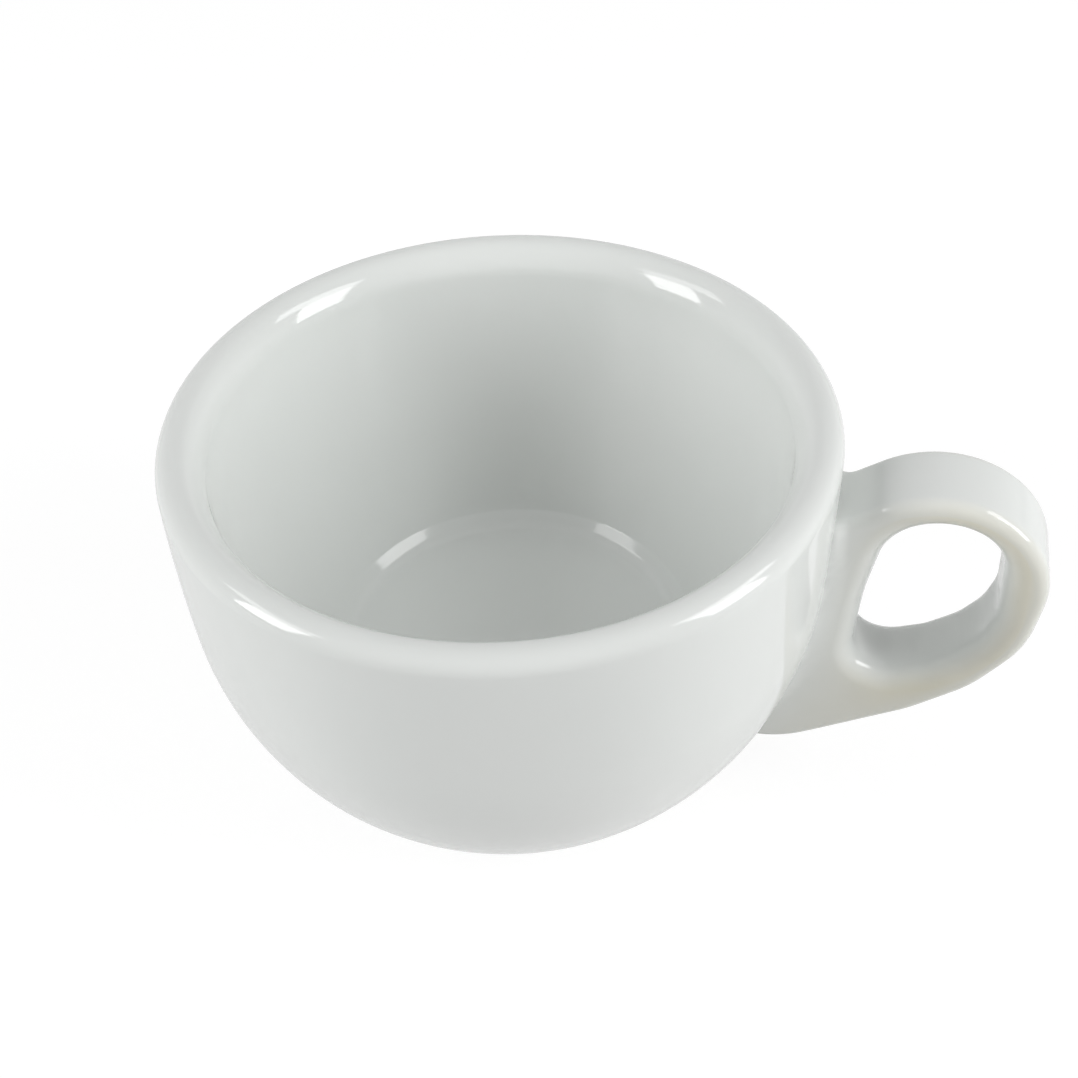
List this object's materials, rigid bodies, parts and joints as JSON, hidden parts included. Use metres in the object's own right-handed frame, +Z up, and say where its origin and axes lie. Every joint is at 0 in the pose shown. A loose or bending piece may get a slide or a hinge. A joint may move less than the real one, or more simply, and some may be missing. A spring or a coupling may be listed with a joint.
{
  "type": "cappuccino cup",
  "caption": "Thick-walled round porcelain cappuccino cup with a rounded rim, a small foot ring and a flat-sided loop handle; holds a short milk coffee.",
  "frame": {"origin": "centre of the foot ring's resting plane, on the bowl's axis", "axes": "+Z up along the bowl's axis, +X from the bowl's axis towards the handle"},
  "size_m": [0.1229, 0.094, 0.0635],
  "materials": {
    "porcelain_body": "matt, unglazed, fine-grained",
    "white_glaze": "glossy white glaze, smooth, faintly cool",
    "fired_slip": "matt, unglazed"
  },
  "bodies": {
    "root": {"bowl": "porcelain_body", "bowl_glaze": "white_glaze", "underside_glaze": "white_glaze", "handle": "porcelain_body", "handle_glaze": "white_glaze", "joining_slip": "fired_slip"}
  },
  "joints": []
}
